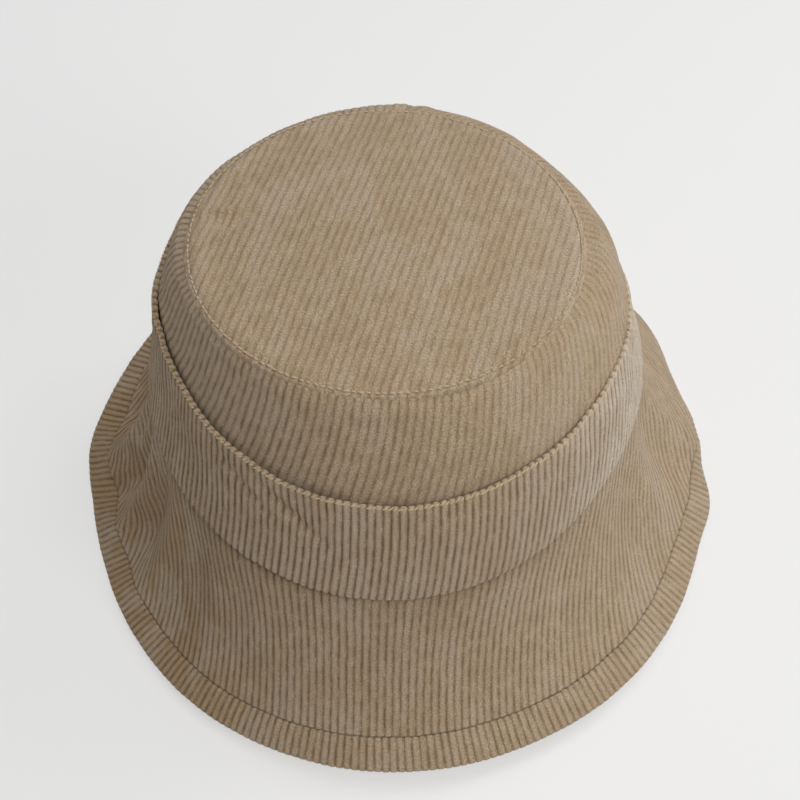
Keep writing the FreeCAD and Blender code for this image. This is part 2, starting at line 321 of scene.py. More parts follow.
# The band's top edge stands off on the left and is pressed in on the right.
BAND_TOP_STANDS = (Fold(-58.0, 28.0, 0.0008), Fold(85.0, 35.0, -0.0007), Fold(108.0, 24.0, -0.0010))
BAND_TOP_REACH = 0.016
BAND_FLARE = 0.0013
BAND_FLARE_LEAST = 0.35
BAND_FLARE_FRONT = (Fold(-40.0, 65.0, 1.0 - BAND_FLARE_LEAST),)
BAND_FLARE_REACH = 0.011
EDGE_STITCH_SINKS = (Fold(85.0, 42.0, -0.0003),)


def band_sag(angle, place):
    """Unevenness of the hat band alone: puckers, slanting creases, and how its edges stand."""
    around = angle * BAND_ROUND_LENGTH
    below = (place - BAND_TOP_PLACE) * WALL_LENGTH
    above_base = (1.0 - place) * WALL_LENGTH
    degrees = np.degrees(angle)
    sag = swayed([BAND_PUCKER], around, below) * hump(below, BAND_PUCKER_MIDDLE, BAND_PUCKER_REACH)
    for crease in BAND_CREASES:
        line = hump(degrees, crease.place + crease.slant * below, crease.spread)
        sag = sag - crease.depth * line * hump(below, crease.middle, crease.reach)
    sag = sag + raised(BAND_TOP_STANDS, degrees) * hump(below, 0.0, BAND_TOP_REACH)
    flare = BAND_FLARE * (BAND_FLARE_LEAST + raised(BAND_FLARE_FRONT, degrees))
    return sag + flare * hump(above_base, 0.0, BAND_FLARE_REACH)


def band_lift(angle, place):
    return wall_sag(angle, place) + band_sag(angle, place)


def edge_stitch_lift(angle, place):
    """Lift of the stitches on the band's top edge, which sink in on the right."""
    return band_lift(angle, place) + raised(EDGE_STITCH_SINKS, np.degrees(angle))


# ---------------------------------------------------------------- corduroy laid out on its cut
WALE = 0.00306
RIDGE = 0.0006
SOFT_RIDGE = 0.00045
SIDE_RIDGE = 0.00036
TIP_RIDGE = 0.0003
COLUMN_PHASES = np.array([-0.5, -0.41, -0.26, 0.0, 0.26, 0.41])


def wale_columns(reach):
    """Places across the cloth from -reach to reach, six to each wale."""
    count = math.ceil(reach / WALE)
    wales = np.arange(-count, count + 1)
    across = ((wales[:, None] + COLUMN_PHASES[None, :]) * WALE).ravel()
    inside = across[np.abs(across) < reach]
    return np.concatenate([[-reach], inside, [reach]])


def pile(across, along, seed, depth=RIDGE):
    """Height of the pile, from minus depth in a groove to about 0 on a wale."""
    wale = across / WALE
    phase = np.abs(wale - np.round(wale)) * 2.0
    ridge = 1.0 - phase**4
    lively = 1.0 + 0.24 * soft_noise(np.round(wale) * 0.73, along / 0.0042, seed)
    return depth * (ridge * lively - 1.0)


def wobble(across, along, seed):
    """Sideways wander of the wales."""
    wander = 0.00020 * soft_noise(across / 0.009, along / 0.011, seed)
    return wander + 0.00011 * soft_noise(across / 0.004, along / 0.0036, seed + 300)


# A cone's flat cut: inner and outer radius, the share of a full turn's angle that it spans,
# the angle round the hat of its middle line, the places of its two round edges, its mean
# radius on the hat, and the angle by which it is sewn in askew.
Cut = namedtuple("Cut", "inner outer share centre place_low place_high radius askew")


def cone_cut(radius, length, share, centre, place_low, place_high, askew=0.0):
    """Cut of a piece from its mean radius on the hat and its length down the hat."""
    inner = radius / share - length / 2.0
    askew = math.radians(askew)
    return Cut(inner, inner + length, share, centre, place_low, place_high, radius, askew)


def cut_half_angle(cut):
    return cut.share * math.pi


def cut_grid(cut, rows, seed):
    """Grid over a cone's cut whose columns follow the wales.

    Returns across and along on the flat cloth, the angle and place on the hat, and the
    distance from the piece's two ends."""
    half = cut_half_angle(cut)
    across = wale_columns(cut.outer * math.sin(half) * 0.9995)
    size = np.abs(across)
    on_inner = np.sqrt(np.maximum(cut.inner**2 - size**2, 0.0))
    on_end = size * math.cos(half) / math.sin(half)
    low = np.where(size <= cut.inner * math.sin(half), on_inner, on_end)
    high = np.sqrt(cut.outer**2 - size**2)
    across, along = np.broadcast_arrays(
        across[:, None], low[:, None] + (high - low)[:, None] * rows[None, :]
    )
    moved = across + wobble(across, along, seed) * np.sin(np.pi * rows)[None, :]
    radius = np.hypot(moved, along)
    share = (radius - cut.inner) / (cut.outer - cut.inner)
    share = np.clip(share, 0.0, 1.0)
    place = cut.place_low + (cut.place_high - cut.place_low) * share
    turn = np.clip(np.arctan2(moved, along), -half, half) / cut.share
    slip = math.tan(cut.askew) * (share - 0.5) * (cut.outer - cut.inner) / cut.radius
    from_ends = (math.pi - np.abs(turn)) * cut.radius
    return across, along, cut.centre + turn - slip, place, from_ends


def strip_grid(surface, place, rows, seam_angle):
    """Grid for a strip whose wales run straight across it.

    Returns across on the flat cloth and the angle, as columns, for every row."""
    turn = np.linspace(seam_angle - 2.0 * math.pi, seam_angle, 4000)
    line = surface(turn, np.full_like(turn, place))
    steps = np.linalg.norm(np.diff(line, axis=0), axis=1)
    length = np.concatenate([[0.0], np.cumsum(steps)])
    reach = length[-1] / 2.0 - 0.00015
    across = wale_columns(reach)
    angle = np.interp(across + length[-1] / 2.0, length, turn)
    return np.repeat(across[:, None], rows, 1), np.repeat(angle[:, None], rows, 1)


# ---------------------------------------------------------------- meshes
def new_object(name, points, faces, uv=None, material=None):
    """Mesh object from points (n, 3) and quads (m, 4), with optional per-point UVs."""
    mesh = bpy.data.meshes.new(name)
    mesh.vertices.add(len(points))
    mesh.vertices.foreach_set("co", np.ascontiguousarray(points, np.float32).ravel())
    mesh.loops.add(faces.size)
    mesh.polygons.add(len(faces))
    mesh.loops.foreach_set("vertex_index", faces.astype(np.int32).ravel())
    starts = np.arange(len(faces), dtype=np.int32) * faces.shape[1]
    mesh.polygons.foreach_set("loop_start", starts)
    mesh.update(calc_edges=True)
    if uv is not None:
        layer = mesh.uv_layers.new(name="cloth")
        layer.data.foreach_set("uv", uv[faces.ravel()].astype(np.float32).ravel())
    mesh.polygons.foreach_set("use_smooth", np.ones(len(faces), bool))
    mesh.validate()
    thing = bpy.data.objects.new(name, mesh)
    bpy.context.scene.collection.objects.link(thing)
    if material is not None:
        mesh.materials.append(material)
    return thing


def grid_faces(columns, rows):
    """Quads of a grid whose points run row by row inside each column."""
    here = np.arange(columns - 1)[:, None] * rows + np.arange(rows - 1)[None, :]
    beside = here + rows
    return np.stack([here, here + 1, beside + 1, beside], -1).reshape(-1, 4)


def grid_object(name, points, material, uv=None, flip=False):
    """Object from a (columns, rows, 3) grid of points."""
    columns, rows = points.shape[:2]
    faces = grid_faces(columns, rows)
    if flip:
        faces = faces[:, ::-1]
    flat_uv = None if uv is None else np.stack(np.broadcast_arrays(*uv), -1).reshape(-1, 2)
    return new_object(name, points.reshape(-1, 3), faces, flat_uv, material)


def rolled(pile_height, radius, turns):
    """Rows that carry a surface round an edge: heights and distances ahead, downhill.

    turns run up to 0 before an edge that is uphill, and on from 0 past one that is downhill."""
    reach = radius + pile_height[:, None]
    return reach * np.cos(turns)[None, :] - radius, reach * np.sin(turns)[None, :]


def repeated(column, count):
    return np.repeat(column[:, None], count, 1)


def with_first(grid, count):
    """The grid with its first row repeated ahead of it."""
    return np.concatenate([repeated(grid[:, 0], count), grid], 1)


def with_last(grid, count):
    """The grid with its last row repeated after it."""
    return np.concatenate([grid, repeated(grid[:, -1], count)], 1)


def mesh_grid(first, second):
    """Two arrays of one shape from the values of the columns and those of the rows."""
    return np.broadcast_arrays(first[:, None], second[None, :])


# ---------------------------------------------------------------- materials
def new_material(name):
    material = bpy.data.materials.new(name)
    material.use_nodes = True
    tree = material.node_tree
    shader = tree.nodes["Principled BSDF"]
    return material, tree, shader


def link(tree, output, target):
    tree.links.new(output, target)


def math_node(tree, operation, first, second=None, clamp=False):
    node = tree.nodes.new("ShaderNodeMath")
    node.operation = operation
    node.use_clamp = clamp
    for socket, value in zip(node.inputs, (first, second)):
        if isinstance(value, (int, float)):
            socket.default_value = value
        elif value is not None:
            link(tree, value, socket)
    return node.outputs[0]


def smooth_range(tree, value, low, high):
    node = tree.nodes.new("ShaderNodeMapRange")
    node.interpolation_type = "SMOOTHSTEP"
    node.inputs["From Min"].default_value = low
    node.inputs["From Max"].default_value = high
    link(tree, value, node.inputs["Value"])
    return node.outputs["Result"]


def cloth_uv(tree):
    node = tree.nodes.new("ShaderNodeUVMap")
    node.uv_map = "cloth"
    return node.outputs["UV"]


def noise_node(tree, vector, stretch, scale, detail=2.0, roughness=0.55):
    mapping = tree.nodes.new("ShaderNodeMapping")
    mapping.inputs["Scale"].default_value = stretch
    link(tree, vector, mapping.inputs["Vector"])
    node = tree.nodes.new("ShaderNodeTexNoise")
    node.inputs["Scale"].default_value = scale
    node.inputs["Detail"].default_value = detail
    node.inputs["Roughness"].default_value = roughness
    link(tree, mapping.outputs["Vector"], node.inputs["Vector"])
    return node.outputs["Fac"]


def mix_colour(tree, share, first, second):
    node = tree.nodes.new("ShaderNodeMix")
    node.data_type = "RGBA"
    for socket, value in ((0, share), (6, first), (7, second)):
        if isinstance(value, tuple):
            node.inputs[socket].default_value = (*value, 1.0)
        elif isinstance(value, float):
            node.inputs[socket].default_value = value
        else:
            link(tree, value, node.inputs[socket])
    return node.outputs[2]


def bump_node(tree, height, distance, strength, normal=None):
    node = tree.nodes.new("ShaderNodeBump")
    node.inputs["Distance"].default_value = distance
    node.inputs["Strength"].default_value = strength
    link(tree, height, node.inputs["Height"])
    if normal is not None:
        link(tree, normal, node.inputs["Normal"])
    return node.outputs["Normal"]


PILE_LIGHT = (0.500, 0.378, 0.250)
PILE_DARK = (0.370, 0.266, 0.162)
PILE_GREY = (0.490, 0.400, 0.305)
PILE_SHADE = (0.290, 0.198, 0.112)
PILE_FLECK = (0.650, 0.530, 0.385)
# Painted highlight on the wales' crests.
PAINTED_CREST_HIGHLIGHT = (0.640, 0.535, 0.410)
# Painted shade in the grooves between the wales.
PAINTED_GROOVE_SHADE = (0.170, 0.100, 0.044)
# Painted grey sheen on the +X side, where the lamps fall.
PAINTED_SHEEN_RIGHT = (0.730, 0.650, 0.545)
# Painted shade over the -X side of the brim and band.
PAINTED_SHADE_LEFT = (0.340, 0.200, 0.078)
# Painted light over the -X side of the crown side.
PAINTED_LIGHT_LEFT = (0.640, 0.480, 0.315)


def scaled(tree, value, factor):
    return math_node(tree, "MULTIPLY", value, factor)


def corduroy_material(name, strengths, groove_shade_fade, left, painted_left_share, sheen_right_share):
    """Ribbed cut pile: mottled nap and a soft sheen, with painted highlight on the wales' crests
    and painted shade in the grooves.

    strengths are those of the painted groove shade, of the painted crest highlight and of the
    grey nap; the argument after strengths is the share of the painted groove shade taken away
    towards the +X side, where the lamps fall.

    left is the colour painted over the -X side of the hat in place of the light that falls
    there: painted shade on the brim, band and tip, painted light on the crown side. On the +X
    side the last argument sets the share of a painted grey sheen."""
    groove_shade_strength, crest_highlight_strength, grey_strength = strengths
    material, tree, shader = new_material(name)
    uv = cloth_uv(tree)
    tuft = noise_node(tree, uv, (1.0, 0.8, 1.0), 4.0, 3.0, 0.7)
    grain = noise_node(tree, uv, (1.0, 1.0, 1.0), 4.4, 4.0, 0.85)
    mottle = noise_node(tree, uv, (0.9, 0.35, 1.0), 1.3, 3.0, 0.65)
    nap = noise_node(tree, uv, (1.0, 0.5, 1.0), 0.17, 3.0, 0.6)
    parts = tree.nodes.new("ShaderNodeSeparateXYZ")
    link(tree, uv, parts.inputs[0])
    ragged = scaled(tree, math_node(tree, "SUBTRACT", tuft, 0.5), 0.40)
    shifted = math_node(tree, "ADD", math_node(tree, "ADD", parts.outputs["X"], 0.5), ragged)
    wale = math_node(tree, "FRACT", shifted)
    side = math_node(tree, "ABSOLUTE", math_node(tree, "SUBTRACT", wale, 0.5))
    groove = smooth_range(tree, side, 0.22, 0.46)
    crest = smooth_range(tree, side, 0.30, 0.08)
    colour = mix_colour(tree, smooth_range(tree, mottle, 0.30, 0.70), PILE_DARK, PILE_LIGHT)
    position = tree.nodes.new("ShaderNodeTexCoord")
    sides = tree.nodes.new("ShaderNodeSeparateXYZ")
    link(tree, position.outputs["Object"], sides.inputs[0])
    across = sides.outputs["X"]
    # The colour painted over the -X side stands in for the shade and light that fall there, in
    # nap-shaped patches.
    patch = math_node(tree, "ADD", smooth_range(tree, nap, 0.58, 0.42), 1.0)
    painted_at_left = math_node(tree, "MULTIPLY", smooth_range(tree, across, -0.035, -0.095), patch)
    painted_at_left = scaled(tree, painted_at_left, painted_left_share / 2.0)
    colour = mix_colour(tree, painted_at_left, colour, left)
    # Painted grey sheen over the +X side.
    painted_sheen_at_right = scaled(tree, smooth_range(tree, across, 0.040, 0.092), sheen_right_share)
    colour = mix_colour(tree, painted_sheen_at_right, colour, PAINTED_SHEEN_RIGHT)
    grey_share = scaled(tree, smooth_range(tree, nap, 0.47, 0.62), grey_strength)
    colour = mix_colour(tree, grey_share, colour, PILE_GREY)
    nap_share = scaled(tree, smooth_range(tree, nap, 0.49, 0.36), 0.45)
    colour = mix_colour(tree, nap_share, colour, PILE_DARK)
    grain_share = scaled(tree, smooth_range(tree, grain, 0.54, 0.40), 0.85)
    colour = mix_colour(tree, grain_share, colour, PILE_SHADE)
    fleck_share = scaled(tree, smooth_range(tree, grain, 0.52, 0.66), 0.80)
    colour = mix_colour(tree, fleck_share, colour, PILE_FLECK)
    # Painted highlight on the wales' crests.
    crest_share = scaled(tree, math_node(tree, "MULTIPLY", crest, tuft), crest_highlight_strength)
    colour = mix_colour(tree, crest_share, colour, PAINTED_CREST_HIGHLIGHT)
    # Painted shade in the grooves, with less of it towards the +X side, where the lamps fall.
    closed = smooth_range(tree, mottle, 0.74, 0.36)
    groove_share = scaled(tree, math_node(tree, "MULTIPLY", groove, closed), groove_shade_strength)
    groove_shade_kept = scaled(tree, smooth_range(tree, across, -0.060, 0.080), -groove_shade_fade)
    groove_shade_kept = math_node(tree, "ADD", groove_shade_kept, 1.0)
    groove_share = math_node(tree, "MULTIPLY", groove_share, groove_shade_kept)
    colour = mix_colour(tree, groove_share, colour, PAINTED_GROOVE_SHADE)
    link(tree, colour, shader.inputs["Base Color"])
    fuzz = math_node(tree, "ADD", tuft, scaled(tree, grain, 0.8))
    link(tree, bump_node(tree, fuzz, 0.0006, 0.9), shader.inputs["Normal"])
    shader.inputs["Roughness"].default_value = 0.95
    shader.inputs["Specular IOR Level"].default_value = 0.10
    shader.inputs["Sheen Weight"].default_value = 0.28
    shader.inputs["Sheen Roughness"].default_value = 0.40
    shader.inputs["Sheen Tint"].default_value = (1.0, 0.97, 0.92, 1.0)
    return material


def thread_material(name, light, dark):
    """Spun sewing thread with a twist along each stitch."""
    material, tree, shader = new_material(name)
    uv = cloth_uv(tree)
    wave = tree.nodes.new("ShaderNodeTexWave")
    wave.bands_direction = "DIAGONAL"
    wave.inputs["Scale"].default_value = 3.0
    wave.inputs["Distortion"].default_value = 0.6
    link(tree, uv, wave.inputs["Vector"])
    strand = wave.outputs["Fac"]
    link(tree, mix_colour(tree, strand, dark, light), shader.inputs["Base Color"])
    link(tree, bump_node(tree, strand, 0.0001, 0.5), shader.inputs["Normal"])
    shader.inputs["Roughness"].default_value = 0.7
    shader.inputs["Specular IOR Level"].default_value = 0.25
    shader.inputs["Sheen Weight"].default_value = 0.2
    return material


def woven_material(name, light, dark, across, along, diagonal=False):
    """Plain or twill weave for the lining, ribbon, stiffener and label."""
    material, tree, shader = new_material(name)
    uv = cloth_uv(tree)
    wave = tree.nodes.new("ShaderNodeTexWave")
    wave.bands_direction = "DIAGONAL" if diagonal else "X"
    wave.inputs["Scale"].default_value = across
    wave.inputs["Distortion"].default_value = 0.4
    link(tree, uv, wave.inputs["Vector"])
    cross = tree.nodes.new("ShaderNodeTexWave")
    cross.bands_direction = "Y"
    cross.inputs["Scale"].default_value = along
    cross.inputs["Distortion"].default_value = 0.3
    link(tree, uv, cross.inputs["Vector"])
    weave = math_node(tree, "MULTIPLY", wave.outputs["Fac"], cross.outputs["Fac"])
    tone = noise_node(tree, uv, (1.0, 1.0, 1.0), 0.5, 3.0)
    colour = mix_colour(tree, smooth_range(tree, weave, 0.0, 0.7), dark, light)
    colour = mix_colour(tree, math_node(tree, "MULTIPLY", tone, 0.35), colour, dark)
    link(tree, colour, shader.inputs["Base Color"])
    link(tree, bump_node(tree, weave, 0.0002, 0.5), shader.inputs["Normal"])
    shader.inputs["Roughness"].default_value = 0.65
    shader.inputs["Specular IOR Level"].default_value = 0.3
    shader.inputs["Sheen Weight"].default_value = 0.15
    return material


# Per piece: strengths of painted groove shade, painted crest highlight and grey nap; share of
# groove shade taken away to +X; colour painted over the -X side and its share (painted shade on the
# brim, band and tip, painted light on the crown side); share of painted grey sheen on +X. The grey
# nap is the cloth's random tone, and its share is set highest on the tip as painted sheen on the
# top.
BRIM_CORDUROY = corduroy_material("brim_corduroy", (0.72, 0.40, 0.55), 0.45, PAINTED_SHADE_LEFT, 0.95, 0.0)
SIDE_CORDUROY = corduroy_material("side_corduroy", (0.66, 0.32, 0.50), 0.88, PAINTED_LIGHT_LEFT, 0.95, 0.0)
BAND_CORDUROY = corduroy_material("band_corduroy", (0.86, 0.55, 0.55), 0.42, PAINTED_SHADE_LEFT, 0.50, 1.0)
TIP_CORDUROY = corduroy_material("tip_corduroy", (0.34, 0.28, 0.60), 0.45, PILE_DARK, 0.30, 0.45)
EDGE_THREAD = thread_material("edge_thread", (0.74, 0.58, 0.36), (0.46, 0.34, 0.19))
SEAM_THREAD = thread_material("seam_thread", (0.62, 0.50, 0.34), (0.42, 0.32, 0.20))
# Thread darkened as painted shade in the ditch of the edge strip's seam.
DITCH_SHADE_THREAD = thread_material("ditch_shade_thread", (0.46, 0.35, 0.22), (0.30, 0.22, 0.13))
# Near-black thread: the band's base stitches coloured as painted shadow under the band's edge.
PAINTED_SHADOW_THREAD = thread_material("painted_shadow_thread", (0.20, 0.13, 0.07), (0.11, 0.07, 0.035))
LINING_CLOTH = woven_material(
    "lining_cloth", (0.36, 0.27, 0.18), (0.22, 0.16, 0.10), 6.0, 7.0, diagonal=True
)
RIBBON = woven_material("sweatband_ribbon", (0.30, 0.22, 0.145), (0.16, 0.11, 0.07), 5.0, 1.2)
STIFFENER_CLOTH = woven_material("stiffener_cloth", (0.80, 0.78, 0.73), (0.6, 0.57, 0.5), 4.0, 4.0)
LABEL_CLOTH = woven_material("label_cloth", (0.84, 0.82, 0.77), (0.66, 0.63, 0.57), 9.0, 9.0)


def placed(piece, node):
    """A piece stands for its CAD node, which is hidden, and rides on the body."""
    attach(piece, BODY)
    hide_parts(node)
    return piece


# ---------------------------------------------------------------- the crown's tip
TIP_ROLL = 0.0018
TIP_SKIRT = 0.0014
TIP_STITCH_INSET = 0.0017
EDGE_ROWS = np.array([0.0, 0.0002, 0.0006, 0.0011, 0.0017])
EDGE_ROWS_SPAN = 0.0030
EDGE_ROWS_GAP = 0.0012
EDGE_ROWS_SHARE = 0.35
TIP_DIMPLE = 0.0006
TIP_DIMPLE_REACH = 0.0008
# The seam allowance shows through the cloth as a low ridge beside the tip seam.
ALLOWANCE_RISE = 0.0006
ALLOWANCE_INSET = 0.0055
ALLOWANCE_REACH = 0.0028
TIP_SWAY = Sway(0.0007, 0.035, 0.040, 42)
TIP_SWAY_FADE = 0.012
TIP_WOBBLE_FADE = 0.004
# The crease's place, then for its ridge and for the hollow before it the height and reaches.
CREASE_X, CREASE_Y = -0.059, 0.0125
CREASE_RIDGE, CREASE_LENGTH, CREASE_WIDTH, CREASE_SLOPE = 0.0013, 0.010, 0.0016, 0.10
HOLLOW_DEPTH, HOLLOW_LENGTH, HOLLOW_WIDTH, HOLLOW_AWAY = 0.0009, 0.014, 0.0040, 0.0050


def tip_relief(inward):
    """Height of the tip near its seam: rolled edge, stitched dimple and the allowance inside."""
    roll = np.clip(TIP_ROLL - inward, 0.0, TIP_ROLL)
    drop = TIP_ROLL - np.sqrt(TIP_ROLL**2 - roll**2)
    dimple = TIP_DIMPLE * hump(inward, TIP_STITCH_INSET, TIP_DIMPLE_REACH)
    return ALLOWANCE_RISE * hump(inward, ALLOWANCE_INSET, ALLOWANCE_REACH) - dimple - drop


def tip_crease(x, y):
    """Light crease ridge across the left of the tip, with a hollow before it."""
    x, y = x - CREASE_X, y - CREASE_Y
    ridge = hump(x, 0.0, CREASE_LENGTH) * hump(y, CREASE_SLOPE * x, CREASE_WIDTH)
    hollow = hump(x, 0.0, HOLLOW_LENGTH) * hump(y, -HOLLOW_AWAY, HOLLOW_WIDTH)
    return CREASE_RIDGE * ridge - HOLLOW_DEPTH * hollow


def build_crown_tip():
    radius = TIP_SEAM.half_width
    across = wale_columns(radius * 0.9995)
    end = np.sqrt(radius**2 - across**2)
    inner = np.maximum(end - EDGE_ROWS[-1] - EDGE_ROWS_GAP, EDGE_ROWS_SHARE * end)
    rows = np.linspace(-1.0, 1.0, 84)
    middle = inner[:, None] * rows[None, :]
    far = end[:, None] - EDGE_ROWS[::-1][None, :] * (end - inner)[:, None] / EDGE_ROWS_SPAN
    along = np.concatenate([-far[:, ::-1], middle, far], 1)
    across, along = np.broadcast_arrays(across[:, None], along)
    fade = np.clip((radius - np.hypot(across, along)) / TIP_WOBBLE_FADE, 0.0, 1.0)
    moved = across + wobble(across, along, 41) * fade
    x = TIP_SEAM.shift_x + moved * math.cos(TIP_TURN) - along * math.sin(TIP_TURN)
    y = TIP_SEAM.shift_y + moved * math.sin(TIP_TURN) + along * math.cos(TIP_TURN)
    inward = radius - np.hypot(moved, along)
    uneven = swayed([TIP_SWAY], x, y) * np.clip(inward / TIP_SWAY_FADE, 0.0, 1.0)
    height = tip_height(x, y) + pile(across, along, 43, TIP_RIDGE) + tip_relief(inward)
    height = height + uneven + tip_crease(x, y)
    grid = np.stack([x, y, height], -1)
    skirt = np.array([0.0, 0.0, TIP_SKIRT])
    grid = np.concatenate([grid[:, :1] - skirt, grid, grid[:, -1:] - skirt], 1)
    across, along = (with_last(with_first(flat, 1), 1) for flat in (across, along))
    uv = (across / WALE, along / WALE)
    piece = grid_object("crown_tip_cloth", grid, TIP_CORDUROY, uv, flip=True)
    return placed(piece, "crown_tip")


DISC_HOLE = 0.001
DISC_SWAY = Sway(0.0002, 0.02, 0.02, None)


def build_disc(name, node, material, face, seed):
    """Plain oval disc that follows the tip on the inside."""
    radius = TIP_SEAM.half_width - TIP_LAYER_INSET
    angle, share = mesh_grid(np.linspace(0.0, 2.0 * math.pi, 145), np.linspace(DISC_HOLE, 1.0, 40))
    x = TIP_SEAM.shift_x + share * radius * np.sin(angle)
    y = TIP_SEAM.shift_y - share * radius * np.cos(angle)
    uneven = swayed([DISC_SWAY._replace(seed=seed)], x, y)
    grid = np.stack([x, y, tip_height(x, y) + face + uneven], -1)
    piece = grid_object(name, grid, material, (x / WALE, y / WALE), flip=True)
    return placed(piece, node)


# ---------------------------------------------------------------- the crown's side
BAND_END = 0.987
SIDE_END = 1.034
SIDE_CUT = cone_cut(0.0805, 0.0905, 0.13, CROWN_TURN, 0.0, SIDE_END, 16.0)
BAND_CUT = cone_cut(0.0995, 0.0455, 0.14, CROWN_TURN, BAND_TOP_PLACE, BAND_END, 0.5)
SIDE_ROLL = 0.0014
SEAM_DIP = 0.0009
WALL_ALLOWANCE_REACH = 0.0030
# Just above the band's top edge the wall stands out to meet it, most at the sides, and at the
# right it swells over it.
FLUSH_LEAST = 0.0003
FLUSH_SIDES = (Fold(95.0, 50.0, 0.0008), Fold(-105.0, 50.0, 0.0012))
FLUSH_ABOVE, FLUSH_REACH = 0.0008, 0.0040
BULGES = (Fold(108.0, 24.0, 0.0016),)
BULGE_ABOVE, BULGE_REACH = 0.0030, 0.0045
# How far each piece's UVs lie from the others', so that no two share the same fibres.
SIDE_UV = 3.0 * LATTICE
BAND_UV = 7.0 * LATTICE
STRIP_UV = 17.0 * LATTICE


def seam_dip(away):
    """Dip of the cloth into a back seam, by the distance from the piece's ends."""
    return -SEAM_DIP * np.exp(-((away / 0.0016) ** 2)) + 0.0005 * hump(away, 0.0045, 0.0022)


def build_crown_side():
    rows = np.concatenate([np.linspace(0.0, 0.56, 34), np.linspace(0.60, 1.0, 6)])
    across, along, angle, place, away = cut_grid(SIDE_CUT, rows, 51)
    height = pile(across, along, 52, SIDE_RIDGE)
    below = place * WALL_LENGTH
    lift = wall_sag(angle, place) + seam_dip(away)
    lift = lift + ALLOWANCE_RISE * hump(below, ALLOWANCE_INSET, WALL_ALLOWANCE_REACH)
    degrees, band_top = np.degrees(angle), BAND_TOP_PLACE * WALL_LENGTH
    flush = FLUSH_LEAST + raised(FLUSH_SIDES, degrees)
    lift = lift + flush * hump(below, band_top - FLUSH_ABOVE, FLUSH_REACH)
    lift = lift + raised(BULGES, degrees) * hump(below, band_top - BULGE_ABOVE, BULGE_REACH)
    turns = np.linspace(-math.pi / 2.0, 0.0, 6)[:-1]
    roll_height, roll_ahead = rolled(height[:, 0], SIDE_ROLL, turns)
    full_angle, full_place, full_lift, full_along, full_across = (
        with_first(grid, len(turns)) for grid in (angle, place, lift, along, across)
    )
    full_height = np.concatenate([roll_height, height], 1)
    full_ahead = np.concatenate([roll_ahead, np.zeros_like(height)], 1)
    grid = laid(crown_wall, full_angle, full_place, full_height + full_lift, full_ahead)
    uv = (full_across / WALE + SIDE_UV, full_along / WALE)
    piece = grid_object("crown_side_cloth", grid, SIDE_CORDUROY, uv, flip=True)
    return placed(piece, "crown_side")


# The inner layers follow this share of the wall's unevenness.
INNER_SAG = 0.5


def build_wall_layer(name, node, material, face, low, high, folds, seed):
    """Plain cloth that follows the crown side on the inside."""
    turn = np.linspace(CROWN_TURN - math.pi, CROWN_TURN + math.pi, 361)
    angle, place = mesh_grid(turn, np.linspace(low, high, 40))
    around, down = angle * INNER_RADIUS, place * WALL_LENGTH
    uneven = swayed([Sway(folds, 0.010, 0.050, seed)], around, down)
    lift = INNER_SAG * wall_sag(angle, place) - np.abs(uneven)
    grid = laid(crown_wall, angle, place, face + lift)
    piece = grid_object(name, grid, material, (around / WALE, down / WALE))
    return placed(piece, node)


# ---------------------------------------------------------------- the hat band
def band_gap(place):
    """Air behind the folded band, which stands off the crown at its top edge."""
    open_share = (1.0 - place) / (1.0 - BAND_TOP_PLACE)
    return AIR + BAND_STAND_OFF * open_share**3


BAND_BACK_UV = 0.1


def build_hat_band():
    rows = np.linspace(0.0, 1.0, 27)
    across, along, angle, place, away = cut_grid(BAND_CUT, rows, 61)
    height = pile(across, along, 62)
    half = BAND_FOLDED / 2.0
    top_turns = np.linspace(-math.pi, 0.0, 11)[:-1]
    base_turns = np.linspace(0.0, math.pi, 9)[1:]
    top_height, top_ahead = rolled(height[:, 0], half, top_turns)
    base_height, base_ahead = rolled(height[:, -1], half, base_turns)
    back = np.arange(len(rows) - 4, 2, -4)

    def folded(front):
        """Rows of the top roll, the front, the base roll and the back, from the front's."""
        rolls = with_last(with_first(front, len(top_turns)), len(base_turns))
        return np.concatenate([rolls, front[:, back]], 1)

    full_angle, full_place = folded(angle), folded(place)
    back_height = -BAND_FOLDED - height[:, back]
    zero = np.zeros_like(height)
    full_height = np.concatenate([top_height, height, base_height, back_height], 1)
    full_ahead = np.concatenate([top_ahead, zero, base_ahead, zero[:, back]], 1)
    lift = band_lift(full_angle, full_place) + seam_dip(folded(away))
    base = band_gap(full_place) + BAND_FOLDED
    grid = laid(crown_wall, full_angle, full_place, base + full_height + lift, full_ahead)
    start = along[:, :1] + half * top_turns[None, :]
    finish = along[:, -1:] + half * base_turns[None, :]
    full_along = np.concatenate([start, along, finish, along[:, back] + BAND_BACK_UV], 1)
    full_across = np.repeat(across[:, :1], full_along.shape[1], 1)
    uv = (full_across / WALE + BAND_UV, full_along / WALE)
    piece = grid_object("hat_band_cloth", grid, BAND_CORDUROY, uv, flip=True)
    return placed(piece, "hat_band")


# ---------------------------------------------------------------- the brim
BRIM_SHARE = 0.47
BRIM_TURN = math.radians(-6.0)
BRIM_CUT = cone_cut(0.1075, 0.0740, BRIM_SHARE, BRIM_TURN, 0.0, STRIP_SEAM_PLACE)
BRIM_ROLL = 0.0009
JOINT_DIP = 0.0021
JOINT_DIP_REACH = 0.0050
# The edge row that is tucked in below a rolled edge, and the fade of the roll at the joint.
TUCK = 0.0008
ROLL_FADE_PLACE = 0.05
TUCK_RUN = 0.002


